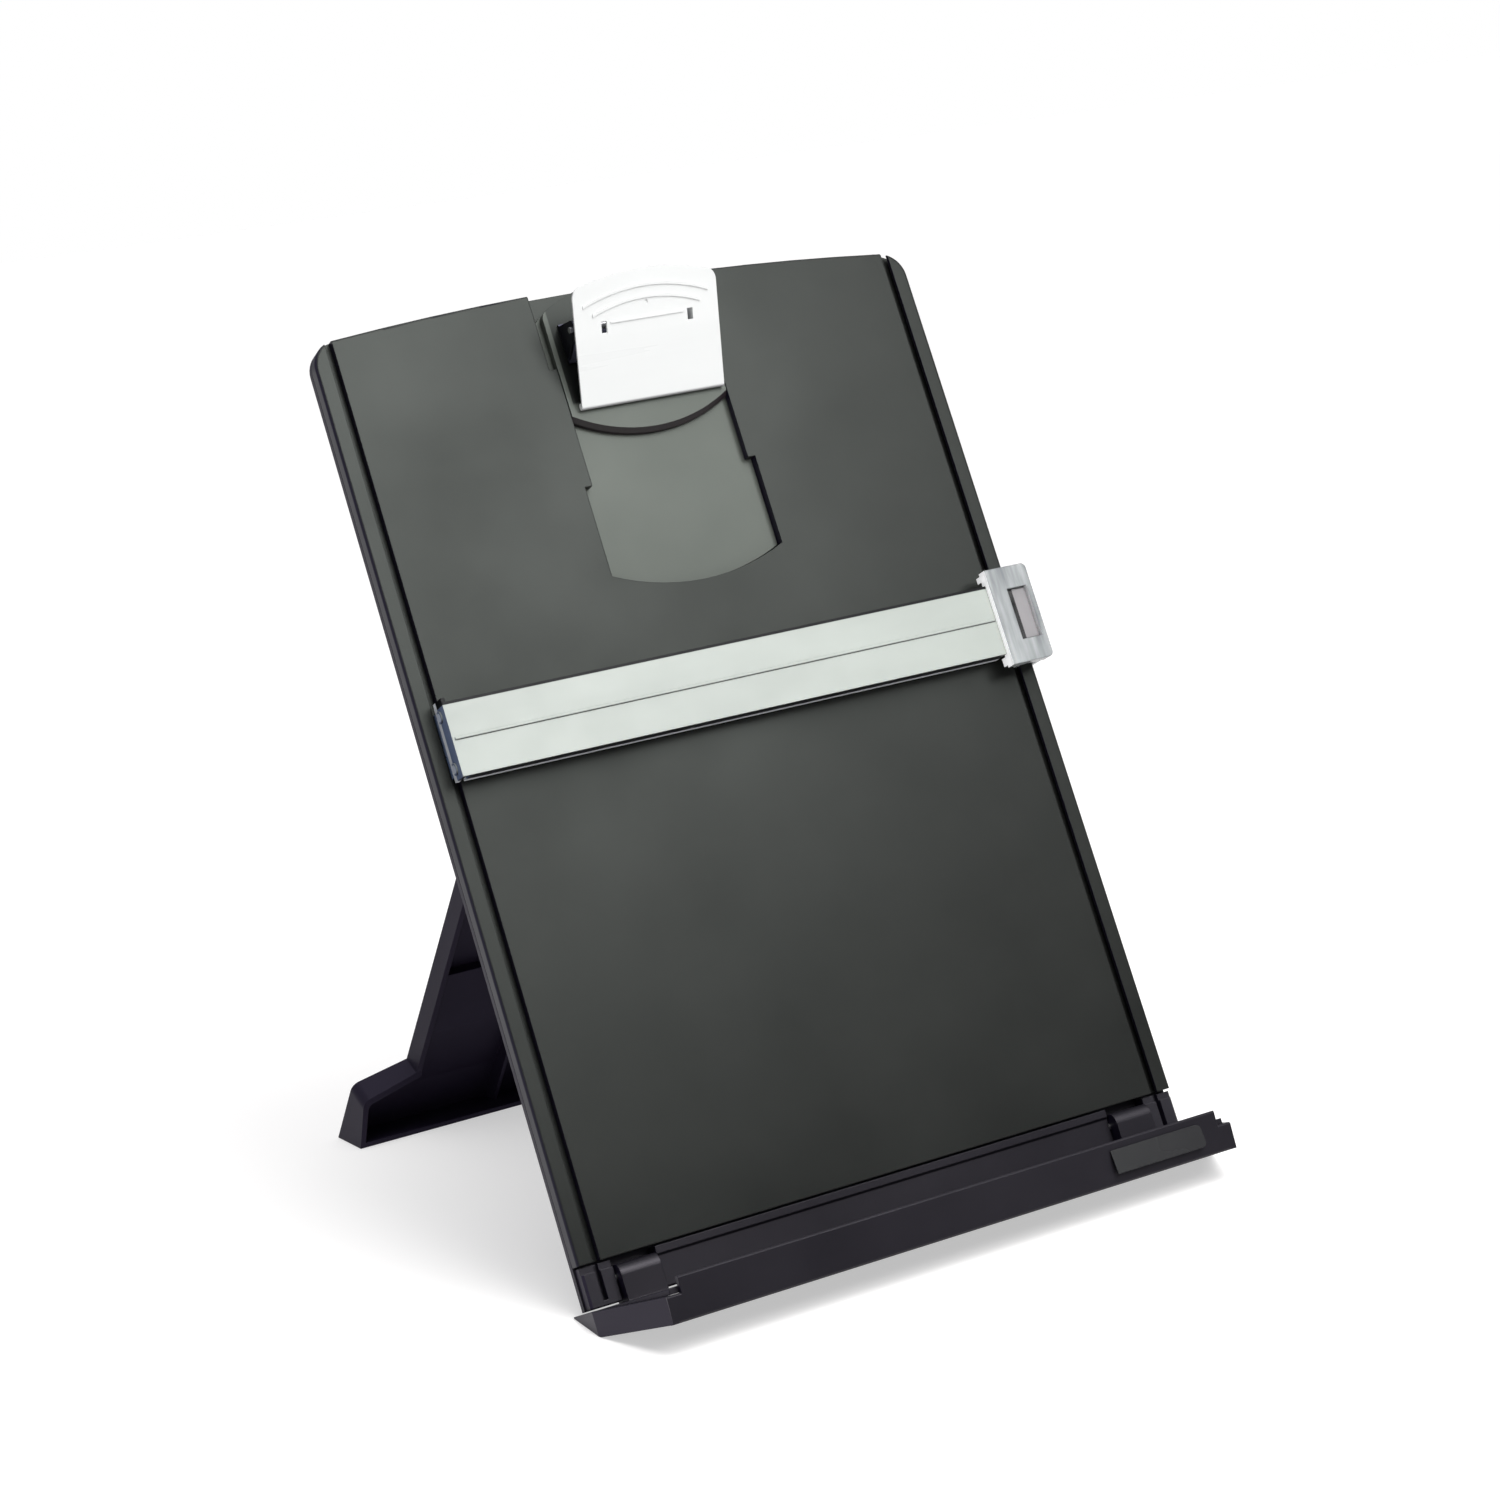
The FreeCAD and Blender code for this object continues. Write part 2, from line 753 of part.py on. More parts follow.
def leg_profile(web, floor_t, front):
    """Side view from the back plane: horizontal sole, upright toe and parallel column."""
    rise = floor_t / math.cos(leg_lean)
    toe_n = sole_d + front
    column_n = leg_d + front
    knee_s = sole_s(sole_d) + (sole_d - leg_d) / math.tan(leg_lean)
    return [(web, sole_s(web) + rise), (toe_n, sole_s(toe_n) + rise), (toe_n, sole_s(sole_d) + rise + 0.01),
            (column_n, knee_s), (column_n, leg_len + 15.0), (web, leg_len + 15.0)]


def knuckle_profile():
    """Top of the leg in (n, s): round about the pin, with the stop bevel that bears on the board."""
    r = ear_r - 0.05
    half = math.sqrt(0.5) * r
    steep = math.pi / 8
    peak = leg_len + stop_bevel
    bevel_n = leg_axis_n + math.sqrt(2.0) * r - stop_bevel
    front_n = leg_axis_n + r
    return [(-1.0, -5.0), (40.0, -5.0), (40.0, 60.0), (front_n, 60.0), (front_n, leg_len),
            ((leg_axis_n + r * math.cos(steep), leg_len + r * math.sin(steep)),
             (leg_axis_n + half, leg_len + half)),
            (bevel_n, peak), (-1.0, peak)]


def rear_leg():
    outer = leg_front(leg_outline(0.0), -1.0, leg_past_back)

    def shoulder_edge(edge):
        spot = middle_of(edge)
        across = abs(edge.tangentAt(edge.FirstParameter).y) > 0.9
        return across and abs(spot.z - shoulder_s) < 0.1

    outer = rounded(outer, shoulder_r, shoulder_edge)
    envelope = outer.common(leg_side(leg_profile(0.0, 0.0, 0.0)))
    inner = leg_front(leg_outline(leg_wall), -1.0, leg_past_back)
    inner = rounded(inner, shoulder_r - leg_wall, lambda edge: (
        abs(edge.tangentAt(edge.FirstParameter).y) > 0.9
        and abs(middle_of(edge).z - shoulder_s + leg_wall) < 0.1))
    head_s = leg_len - head_block
    below_knuckle = leg_side([(-5.0, -5.0), (40.0, -5.0), (40.0, head_s), (-5.0, head_s)])
    inner = inner.common(below_knuckle)
    body = envelope.cut(inner.common(leg_side(leg_profile(leg_web, leg_wall, 20.0))))
    panel = leg_side([(leg_web - 0.5, panel_foot), (leg_web, panel_foot), (panel_n, panel_bend),
                      (panel_n, panel_s),
                      (leg_web - 0.5, panel_s)])
    extras = [panel.common(outer)]
    slope = (waist_half - column_half) / (column_s - waist_s)
    rib_low = sole_s(leg_web) + leg_wall
    shift = slope * (leg_rib_high - rib_low)
    for side in (-1, 1):
        low_u = side * leg_rib_u
        high_u = side * (leg_rib_u - shift)
        steps = [(low_u - rib_t / 2, rib_low), (low_u + rib_t / 2, rib_low),
                 (high_u + rib_t / 2, leg_rib_high),
                 (high_u - rib_t / 2, leg_rib_high)]
        extras.append(leg_front(steps, leg_web - 0.5, leg_d - 0.6))
    for index in range(cross_rib_count):
        level = cross_rib_low + index * cross_rib_pitch
        extras.append(leg_side([(leg_web - 0.5, level), (leg_d - 2.0, level), (leg_d - 2.0, level + rib_t),
                                (leg_web - 0.5, level + rib_t)]).common(outer))
    body = joined(body, extras).common(envelope).common(leg_side(knuckle_profile()))
    bore = Part.makeCylinder(leg_pin_r + running, 2 * leg_bore_half,
                             Vector(-leg_bore_half, -leg_axis_n, leg_len), Vector(1, 0, 0))
    return leg_place(body.cut(bore))


def leg_hinge_pin():
    half = column_half + ear_gap + ear_thick + leg_pin_head
    return rod(leg_pin_r, -half, half, leg_axis_w, leg_axis_v)


# Clip carriage

def clip_carriage():
    half = channel_half - gap
    low_mid, low_right = end_arc(half, channel_low + gap + 0.2, channel_end_r - gap)
    back = -channel_d + gap
    shoulder_v = tongue_top - tongue_corner
    tongue = face_prism([(-half, low_right[1]), (low_mid, low_right), (half, shoulder_v),
                         (half - tongue_corner, tongue_top), (tongue_corner - half, tongue_top),
                         (-half, shoulder_v)], back, tongue_face)
    leaf_low = channel_low + leaf_rise
    leaf_room = block(-leaf_room_half, leaf_room_half, back - 1.0, back + leaf_room_d,
                      leaf_low, leaf_low + leaf_room_len)
    head_top = back + screw_head_t - 0.1
    holes = []
    for u, v in base_screw_spots():
        holes.append(shank_peg(screw_r + screw_room, u, v, back - 1.0, 0.0))
        holes.append(head_peg(screw_head_r + screw_room, u, v, back - 1.0, head_top))
    return less(tongue, leaf_room, holes)


def carriage_detent_spring():
    top = -channel_d + gap + leaf_room_d - seat
    low = channel_low + leaf_rise + 1.0
    high = low + leaf_room_len - 2.0
    middle = (low + high) / 2
    half = leaf_bump_len / 2
    steps = [(top, low), (top, high), (top - leaf_t, high), (top - leaf_t, middle + half),
             (top - leaf_t - leaf_bump, middle), (top - leaf_t, middle - half), (top - leaf_t, low)]
    return side_prism(steps, -leaf_half, leaf_half)


def clip_base():
    half = base_half
    low_mid, low_right = end_arc(half, base_low, base_end_r)
    plate = face_prism([(-half, low_right[1]), (low_mid, low_right), (half, base_side_top),
                        ((0.0, base_top), (-half, base_side_top))], tongue_face + seat, 0.0)

    def arched_corner(edge):
        spot = middle_of(edge)
        across = abs(edge.tangentAt(edge.FirstParameter).y) > 0.99
        return across and spot.z > base_side_top - 1.0

    plate = rounded(plate, base_corner_r, arched_corner)

    def front_low_edge(edge):
        spot = middle_of(edge)
        return abs(spot.y) < 0.01 and spot.z < low_right[1] and len(edge.Vertexes) == 2 and abs(spot.x) < 1.0

    plate = plate.makeChamfer(base_bevel, [edge for edge in plate.Edges if front_low_edge(edge)])
    holes = [shank_peg(screw_r + seat, u, v, -channel_d, screw_tip_w + 0.2) for u, v in base_screw_spots()]
    return less(plate, holes)


def clip_base_screws():
    head_w = -channel_d + gap - 0.12
    return Part.makeCompound([screw(u, v, head_w, screw_tip_w) for u, v in base_screw_spots()])


def clip_bracket():
    side = ear_u + ear_t
    strip = block(clip_u - side, clip_u + side, seat, seat + ear_t,
                  clip_pin_v - bracket_low, clip_pin_v + bracket_high)
    r = ear_round_r
    profile = [(seat, clip_pin_v - bracket_low + 1.0), (clip_pin_w, clip_pin_v - r),
               ((clip_pin_w + r, clip_pin_v), (clip_pin_w, clip_pin_v + r)),
               (seat, clip_pin_v + bracket_high - 0.5)]
    ears = [side_prism(profile, clip_u + ear_u, clip_u + side),
            side_prism(profile, clip_u - side, clip_u - ear_u)]
    bore = rod(clip_pin_r + seat, clip_u - side - 1.0, clip_u + side + 1.0, clip_pin_w, clip_pin_v)
    return less(joined(strip, ears), bore)


def clip_hinge_pin():
    half = ear_u + ear_t + clip_pin_head
    return rod(clip_pin_r, clip_u - half, clip_u + half, clip_pin_w, clip_pin_v)


def lever_place(shape):
    """From (u, n, a) to board coordinates: a runs up the lever from the jaw, n away from the board."""
    shape.rotate(Vector(0, 0, 0), Vector(1, 0, 0), lever_angle_deg)
    shape.translate(at(clip_u, jaw_roll_r + gap, jaw_v))
    return shape


def lever_plate(steps, n0, n1):
    wire = outline(steps, lambda u, a: Vector(u, -n1, a))
    return Part.Face(wire).extrude(Vector(0, n1 - n0, 0))


def pressed_arc(half, side_a, middle_a):
    """Raised curved line across the lever's front."""
    steps = [(-half, side_a), ((0.0, middle_a), (half, side_a)), (half, side_a + press_w),
             ((0.0, middle_a + press_w), (-half, side_a + press_w))]
    return lever_plate(steps, jaw_roll_r - 0.2, jaw_roll_r + press_t)


def pin_in_lever():
    """The pin's place in the lever's own frame: along it, and out from the jaw's centre."""
    angle = math.radians(lever_angle_deg)
    dv = clip_pin_v - jaw_v
    dw = clip_pin_w - jaw_roll_r - gap
    along = dv * math.cos(angle) + dw * math.sin(angle)
    out = -dv * math.sin(angle) + dw * math.cos(angle)
    return along, out


def lever_tab(left, axis_a, axis_n):
    """Tab bent back beside a window, with a round end about the pin."""
    root = jaw_roll_r - lever_t + 0.2
    steps = [(root, axis_a - tab_root), (axis_n, axis_a - tab_r),
             ((axis_n - tab_r, axis_a), (axis_n, axis_a + tab_r)), (root, axis_a + tab_root)]
    wire = outline(steps, lambda n, a: Vector(left, -n, a))
    return Part.Face(wire).extrude(Vector(ear_t, 0, 0))


def clip_lever():
    side = lever_side_len
    back = jaw_roll_r - lever_t
    plate = lever_plate([(-lever_half, 0.0), (lever_half, 0.0), (lever_half, side),
                         ((0.0, lever_len), (-lever_half, side))], back, jaw_roll_r)

    def top_corner(edge):
        spot = middle_of(edge)
        across = abs(edge.tangentAt(edge.FirstParameter).y) > 0.99
        return across and spot.z > side - 1.0

    plate = rounded(plate, lever_corner_r, top_corner)
    axis_a, axis_n = pin_in_lever()
    window = Part.makeBox(window_w, 10.0, window_h, Vector(tab_u - window_w, -5.0, window_low_a))
    dimple = Part.makeCylinder(dimple_r, 1.0, Vector(0, -jaw_roll_r - 1.0 + dimple_d, dimple_a),
                               Vector(0, 1, 0))
    tab = lever_tab(tab_u, axis_a, axis_n)
    x = Vector(1, 0, 0)
    start = Vector(-lever_half, 0, 0)
    roll = Part.makeCylinder(jaw_roll_r, 2 * lever_half, start, x)
    roll = less(roll, Part.makeCylinder(jaw_roll_r - lever_t, 2 * lever_half, start, x),
                Part.makeBox(2 * lever_half, 5.0, 5.0, Vector(-lever_half, jaw_roll_r - 5.0 - lever_t, 0.0)))
    crease = lever_plate([(-crease_half, crease_low_a), (crease_half, crease_low_a),
                          (crease_half, crease_low_a + crease_w), (-crease_half, crease_low_a + crease_w)],
                         jaw_roll_r - 0.2, jaw_roll_r + press_t)
    body = joined(less(plate, both(window), dimple), roll, both(tab), pressed_arc(*upper_arc),
                  pressed_arc(*lower_arc), crease)
    bore = Part.makeCylinder(clip_pin_r + running, 2 * lever_half, Vector(-lever_half, -axis_n, axis_a), x)
    return lever_place(less(body, bore))


def spring_coil(left):
    """Coil round the pin, its turns drawn with short straight bits."""
    pitch = 2 * spring_wire_r + spring_gap
    count = spring_turns * spring_steps
    points = []
    for index in range(count + 1):
        angle = 2 * math.pi * index / spring_steps
        points.append(Vector(left + pitch * index / spring_steps, spring_r * math.cos(angle),
                             spring_r * math.sin(angle)))
    path = Part.makePolygon(points)
    corners = []
    for side in range(spring_wire_sides + 1):
        angle = 2 * math.pi * side / spring_wire_sides
        corners.append(points[0] + Vector(spring_wire_r * math.cos(angle),
                                          spring_wire_r * math.sin(angle), 0))
    coil = path.makePipeShell([Part.makePolygon(corners)], True, False, 1)
    coil.translate(at(0, clip_pin_w, clip_pin_v))
    return coil


def clip_spring():
    length = spring_turns * (2 * spring_wire_r + spring_gap)
    lefts = (clip_u - spring_inset - length, clip_u + spring_inset)
    return Part.makeCompound([spring_coil(left) for left in lefts])


# Line guide

def line_guide():
    front = guide_front
    plate = block(guide_left, guide_right, front - guide_t, front, guide_low, guide_high)

    def outer_corner(edge):
        spot = middle_of(edge)
        return abs(edge.tangentAt(edge.FirstParameter).y) > 0.99 and spot.x < 0

    plate = rounded(plate, 0.8, outer_corner)
    flange = block(-track_in + 1.0, guide_right, guide_lift, front - 0.2, guide_low, guide_low + guide_t)
    end = block(guide_left, guide_left + guide_t, guide_lift, front - 0.2, guide_low, guide_high + end_rise)
    ridge = rod(ridge_r, guide_left + 1.0, guide_right - ridge_r, front - 0.05, guide_middle)
    rings = [rod(ring_r, guide_left - ring_out, guide_left + 0.2, rivet_w, v) for v in rivet_spots()]
    body = joined(plate, flange, end, ridge, rings)
    return less(body, rivet_holes())


def rivet_spots():
    return (guide_middle - rivet_v, guide_middle + rivet_v)


def rivet_holes():
    right = guide_left + guide_t + shoe_t + 1.0
    return [rod(rivet_r + seat, guide_left - ring_out - 1.0, right, rivet_w, v) for v in rivet_spots()]


def guide_left_shoe():
    """Runner that hangs in the left track, and its upright inside the end wall."""
    inner = guide_left + guide_t + seat
    outer = inner + shoe_t
    under = guide_lift - seat
    neck_out = -track_in - track_w + gap
    track_side = -track_in - gap
    toe_out = neck_out - track_toe
    upright = block(inner, outer, gap, shoe_high_w, shoe_low, shoe_high)
    neck = block(neck_out, track_side, -track_d + gap, under, shoe_low, shoe_high)
    bridge = block(neck_out, outer, gap, under, shoe_low, shoe_high)
    toe = block(toe_out, track_side, -track_d + gap, -track_neck - gap, shoe_low, shoe_high)
    return less(joined(upright, neck, bridge, toe), rivet_holes())


def shoe_rivets():
    rivets = []
    for v in rivet_spots():
        shank = rod(rivet_r, guide_left - ring_out - 0.1, guide_left + guide_t + shoe_t + 0.8, rivet_w, v)
        rivets.append(shank)
    return Part.makeCompound(rivets)


def guide_slider():
    cap = block(slider_left, wall_out, slider_back, slider_front, slider_low, slider_high)

    def corner(edge):
        spot = middle_of(edge)
        across = abs(edge.tangentAt(edge.FirstParameter).y) > 0.99
        return across and spot.x > slider_left + 1.0

    cap = rounded(cap, slider_corner_r, corner)
    low = slider_low + slider_step
    high = slider_high - slider_step
    joint_w = slider_back + 1.0
    wall = block(slider_inner, wall_out, -board_d - slider_gap, joint_w, low, high)
    foot = block(slider_left, slider_left + foot_w, foot_back, joint_w, low, guide_low - foot_room)
    foot_top = block(slider_left, slider_left + foot_w, foot_back, joint_w,
                     guide_high + end_rise + foot_room, high)
    runner = block(track_in + gap, track_in + track_w - gap, -track_neck + 0.2, joint_w, low, high)
    window = block(window_left, window_right, window_floor, slider_front + 1.0, window_low, window_high)
    opening = block(window_left + window_rim, window_right - window_rim, slider_back - 1.0, window_floor,
                    window_low + window_rim, window_high - window_rim)
    pocket = block(slider_inner - 1.0, slider_inner + pad_d, pad_back, pad_front, pad_low, pad_high)
    body = joined(cap, wall, foot, foot_top, runner)
    plate_room = block(slider_left - 1.0, guide_right + gap, 0.0, guide_front + seat,
                       guide_low - seat, guide_high + end_rise)
    return less(body, window, opening, pocket, plate_room, slider_screw_holes())


def slider_screw_spots():
    u = wall_out - slider_wall / 2
    return [(u, slider_low + hook_screw_inset), (u, slider_high - hook_screw_inset)]


def slider_screw_holes():
    """Holes through the hook and into the slider's wall."""
    back_w = -board_d - slider_gap - hook_t - 1.0
    return [shank_peg(hook_screw_r + seat, u, v, back_w, hook_screw_depth - board_d)
            for u, v in slider_screw_spots()]


def slider_thumb_insert():
    inset = insert_gap
    front = window_floor + insert_t
    plate = block(window_left + inset, window_right - inset, window_floor + seat, front,
                  window_low + inset, window_high - inset)

    def front_rim(edge):
        return abs(middle_of(edge).y + front) < 0.01

    return rounded(plate, insert_round, front_rim)


def slider_rear_hook():
    """Plate behind the board that closes the slider round its edge."""
    back_w = -board_d - slider_gap - seat
    plate = block(slider_left - hook_left_inset, wall_out, back_w - hook_t, back_w,
                  slider_low + slider_step, slider_high - slider_step)

    def corner(edge):
        return abs(edge.tangentAt(edge.FirstParameter).y) > 0.99

    plate = plate.makeChamfer(slider_corner_r, [edge for edge in plate.Edges if corner(edge)])
    return less(plate, slider_screw_holes())


def slider_screws():
    back_w = -board_d - slider_gap - seat - hook_t
    screws = []
    for u, v in slider_screw_spots():
        shank = shank_peg(hook_screw_r, u, v, back_w - seat, hook_screw_depth - board_d - 0.3)
        head = head_peg(hook_screw_head_r, u, v, back_w - seat - hook_screw_head_t, back_w - seat)
        screws.append(joined(shank, head))
    return Part.makeCompound(screws)


def guide_brake_pad():
    return block(board_half + gap, slider_inner + pad_d - seat, pad_back + pad_gap, pad_front - pad_gap,
                 pad_low + pad_gap, pad_high - pad_gap)


# Assembly in the row frame

nodes = {
    "front_board": front_board(),
    "rear_cover": rear_cover(),
    "cover_screws": cover_screws(),
    "hinge_rail": hinge_rail(),
    "rail_screws": rail_screws(),
    "ledge_hinge_pins": ledge_hinge_pins(),
    "ledge": ledge(),
    "label_plate": label_plate(),
    "rear_leg": rear_leg(),
    "leg_hinge_pin": leg_hinge_pin(),
    "clip_carriage": clip_carriage(),
    "carriage_detent_spring": carriage_detent_spring(),
    "clip_base": clip_base(),
    "clip_base_screws": clip_base_screws(),
    "clip_bracket": clip_bracket(),
    "clip_hinge_pin": clip_hinge_pin(),
    "clip_spring": clip_spring(),
    "clip_lever": clip_lever(),
    "line_guide": line_guide(),
    "guide_left_shoe": guide_left_shoe(),
    "shoe_rivets": shoe_rivets(),
    "guide_slider": guide_slider(),
    "slider_thumb_insert": slider_thumb_insert(),
    "slider_rear_hook": slider_rear_hook(),
    "slider_screws": slider_screws(),
    "guide_brake_pad": guide_brake_pad(),
}

for shape in nodes.values():
    shape.rotate(Vector(0, 0, 0), Vector(1, 0, 0), -tilt_deg)
    shape.translate(Vector(0, 0, face_lift))

# The origin is the middle of the footprint, on the table
boxes = [shape.optimalBoundingBox(False, False) for shape in nodes.values()]
low_y = min(box.YMin for box in boxes)
high_y = max(box.YMax for box in boxes)
shift = Vector(0, -(low_y + high_y) / 2, 0)

os.makedirs("parts", exist_ok=True)
for name, shape in nodes.items():
    shape.translate(shift)
    shape.exportStep("parts/" + name + ".step")
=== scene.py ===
import json
import math

import bpy
from mathutils import Matrix, Vector


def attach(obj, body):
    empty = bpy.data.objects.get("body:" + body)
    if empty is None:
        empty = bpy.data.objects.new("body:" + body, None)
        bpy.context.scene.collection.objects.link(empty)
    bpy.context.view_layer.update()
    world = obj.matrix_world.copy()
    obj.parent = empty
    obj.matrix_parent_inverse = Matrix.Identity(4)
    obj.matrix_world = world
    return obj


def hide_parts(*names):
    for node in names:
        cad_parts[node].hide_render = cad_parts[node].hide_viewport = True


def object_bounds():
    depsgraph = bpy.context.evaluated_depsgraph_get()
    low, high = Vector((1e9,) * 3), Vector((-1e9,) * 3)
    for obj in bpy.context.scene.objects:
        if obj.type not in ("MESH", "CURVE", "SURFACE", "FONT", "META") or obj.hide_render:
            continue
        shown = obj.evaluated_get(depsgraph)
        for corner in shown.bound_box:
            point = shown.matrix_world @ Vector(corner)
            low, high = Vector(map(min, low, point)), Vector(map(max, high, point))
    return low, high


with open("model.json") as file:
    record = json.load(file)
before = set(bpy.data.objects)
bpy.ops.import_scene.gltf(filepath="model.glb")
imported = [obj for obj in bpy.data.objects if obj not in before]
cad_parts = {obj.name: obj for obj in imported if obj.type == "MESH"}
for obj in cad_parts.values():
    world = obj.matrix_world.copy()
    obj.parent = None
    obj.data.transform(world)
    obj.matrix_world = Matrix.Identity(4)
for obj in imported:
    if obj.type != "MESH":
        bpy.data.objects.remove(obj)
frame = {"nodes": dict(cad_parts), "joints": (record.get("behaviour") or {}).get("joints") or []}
cad_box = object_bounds()

# Where the board is: its axes, and the middle of the face's bottom edge
TILT = math.radians(23.0)
FACE_RIGHT = Vector((1, 0, 0))
FACE_UP = Vector((0, math.sin(TILT), math.cos(TILT)))
FACE_OUT = Vector((0, -math.cos(TILT), math.sin(TILT)))
joints = {joint["name"]: joint for joint in frame["joints"]}
LEG_AXIS_UP = 0.2944
LEG_AXIS_OUT = -0.0153
CLIP_PIN_UP = 0.318
CLIP_PIN_OUT = 0.0106
CLIP_RIGHT = 0.0011
face_origin = Vector(joints["leg_fold"]["pos_m"]) - FACE_UP * LEG_AXIS_UP - FACE_OUT * LEG_AXIS_OUT


def on_face(right, up, out):
    return face_origin + FACE_RIGHT * right + FACE_UP * up + FACE_OUT * out


# Materials

# Sockets of the colour mix node
MIX_FACTOR = 0
MIX_FIRST = 6
MIX_SECOND = 7
MIX_RESULT = 2

# Where most of a noise's values lie
NOISE_LOW = 0.3
NOISE_HIGH = 0.7

# Scales of the noises, in cells per metre, and the depth of the relief in metres
CLOUDS = 28.0
SMUDGES = 16.0
SPARK_GRAIN = 4200.0
FROST_SMUDGES = 120.0
FROST_GRAIN = 900.0
METAL_LINES = 60.0
RELIEF = 0.0001

# Relief of frost, edge radius of metal in metres, refraction, and strength and tint of the sheen
FROST_RELIEF = 0.05
METAL_EDGE = 0.0002
PLASTIC_INDEX = 1.5
ACRYLIC_INDEX = 1.49
SATIN_SHEEN = 0.25
FULL_SHEEN = 0.5
NO_SHEEN = 0.02
GREENISH = (0.92, 1.0, 0.93)
VIOLET = (0.80, 0.73, 1.0)
DUSK = (0.95, 0.90, 1.0)


class Nodes:
    """Small helper that adds shader nodes and links them."""

    def __init__(self, name):
        self.material = bpy.data.materials.new(name)
        self.material.use_nodes = True
        self.tree = self.material.node_tree
        self.tree.nodes.clear()
        output = self.add("ShaderNodeOutputMaterial")
        self.shader = self.add("ShaderNodeBsdfPrincipled")
        self.link(self.shader, "BSDF", output, "Surface")
        self.place = self.add("ShaderNodeTexCoord")

    def add(self, kind):
        return self.tree.nodes.new(kind)

    def link(self, source, out, target, socket):
        self.tree.links.new(source.outputs[out], target.inputs[socket])

    def set(self, socket, value):
        self.shader.inputs[socket].default_value = value

    def noise(self, scale, detail, stretch=None):
        node = self.add("ShaderNodeTexNoise")
        node.inputs["Scale"].default_value = scale
        node.inputs["Detail"].default_value = detail
        if stretch:
            mapping = self.add("ShaderNodeMapping")
            mapping.inputs["Scale"].default_value = stretch
            self.link(self.place, "Object", mapping, "Vector")
            self.link(mapping, "Vector", node, "Vector")
        else:
            self.link(self.place, "Object", node, "Vector")
        return node

    def spread(self, source, low, high):
        """The noise's usual values mapped to low and high."""
        node = self.add("ShaderNodeMapRange")
        node.inputs["From Min"].default_value = NOISE_LOW
        node.inputs["From Max"].default_value = NOISE_HIGH
        node.inputs["To Min"].default_value = low
        node.inputs["To Max"].default_value = high
        self.link(source, "Fac", node, "Value")
        return node

    def along(self, socket, direction, start, end):
        """0 before start and 1 past end, measured on the normal or the place along a direction."""
        dot = self.add("ShaderNodeVectorMath")
        dot.operation = "DOT_PRODUCT"
        dot.inputs[1].default_value = direction
        self.link(self.place, socket, dot, 0)
        ramp = self.add("ShaderNodeMapRange")
        ramp.inputs["From Min"].default_value = start
        ramp.inputs["From Max"].default_value = end
        self.link(dot, "Value", ramp, "Value")
        return ramp

    def facing(self, direction, start, end):
        return self.along("Normal", direction, start, end)

    def past(self, direction, start, end):
        return self.along("Object", direction, start, end)

    def product(self, source, out, ramp):
        node = self.add("ShaderNodeMath")
        node.operation = "MULTIPLY"
        self.link(source, out, node, 0)
        self.link(ramp, "Result", node, 1)
        return node

    def blend(self, factor, out):
        """Colour mix by a factor, as the base colour."""
        node = self.add("ShaderNodeMix")
        node.data_type = "RGBA"
        self.link(factor, out, node, MIX_FACTOR)
        self.link(node, MIX_RESULT, self.shader, "Base Color")
        return node

    def tint(self, source, dark, light):
        node = self.blend(self.spread(source, 0.0, 1.0), "Result")
        node.inputs[MIX_FIRST].default_value = (*dark, 1)
        node.inputs[MIX_SECOND].default_value = (*light, 1)
        return node

    def recolour(self, colour, factor, out, inside):
        """Another colour where the factor is 1."""
        node = self.blend(factor, out)
        node.inputs[MIX_SECOND].default_value = (*inside, 1)
        self.link(colour, MIX_RESULT, node, MIX_FIRST)
        return node

    def shade_facing(self, colour, direction, shade, start, end):
        """Painted light and shade: another colour on the faces that look in one direction of the object."""
        return self.recolour(colour, self.facing(direction, start, end), "Result", shade)

    def zone(self, colour, places, inside):
        """Another colour past all of the places."""
        factor = self.past(*places[0])
        out = "Result"
        for place in places[1:]:
            factor = self.product(factor, out, self.past(*place))
            out = "Value"
        return self.recolour(colour, factor, out, inside)

    def painted_glow_facing(self, direction, start, end, strength, place):
        """Painted glow: emission on the faces that look in one direction, only past a place, standing in
        for light on them.
        """
        ramp = self.facing(direction, start, end)
        ramp.inputs["To Max"].default_value = strength
        self.set("Emission Color", (1, 1, 1, 1))
        glow = self.product(ramp, "Result", self.past(*place))
        self.link(glow, "Value", self.shader, "Emission Strength")

    def dull_past(self, place):
        """Loses the mirror sheen past a place."""
        ramp = self.past(*place)
        ramp.inputs["To Min"].default_value = FULL_SHEEN
        ramp.inputs["To Max"].default_value = NO_SHEEN
        self.link(ramp, "Result", self.shader, "Specular IOR Level")

    def rough(self, source, low, high):
        self.link(self.spread(source, low, high), "Result", self.shader, "Roughness")

    def bump(self, source, strength, edge):
        """Fine relief over softly rounded edges."""
        bevel = self.add("ShaderNodeBevel")
        bevel.samples = 4
        bevel.inputs["Radius"].default_value = edge
        node = self.add("ShaderNodeBump")
        node.inputs["Strength"].default_value = strength
        node.inputs["Distance"].default_value = RELIEF
        self.link(source, "Fac", node, "Height")
        self.link(bevel, "Normal", node, "Normal")
        self.link(node, "Normal", self.shader, "Normal")


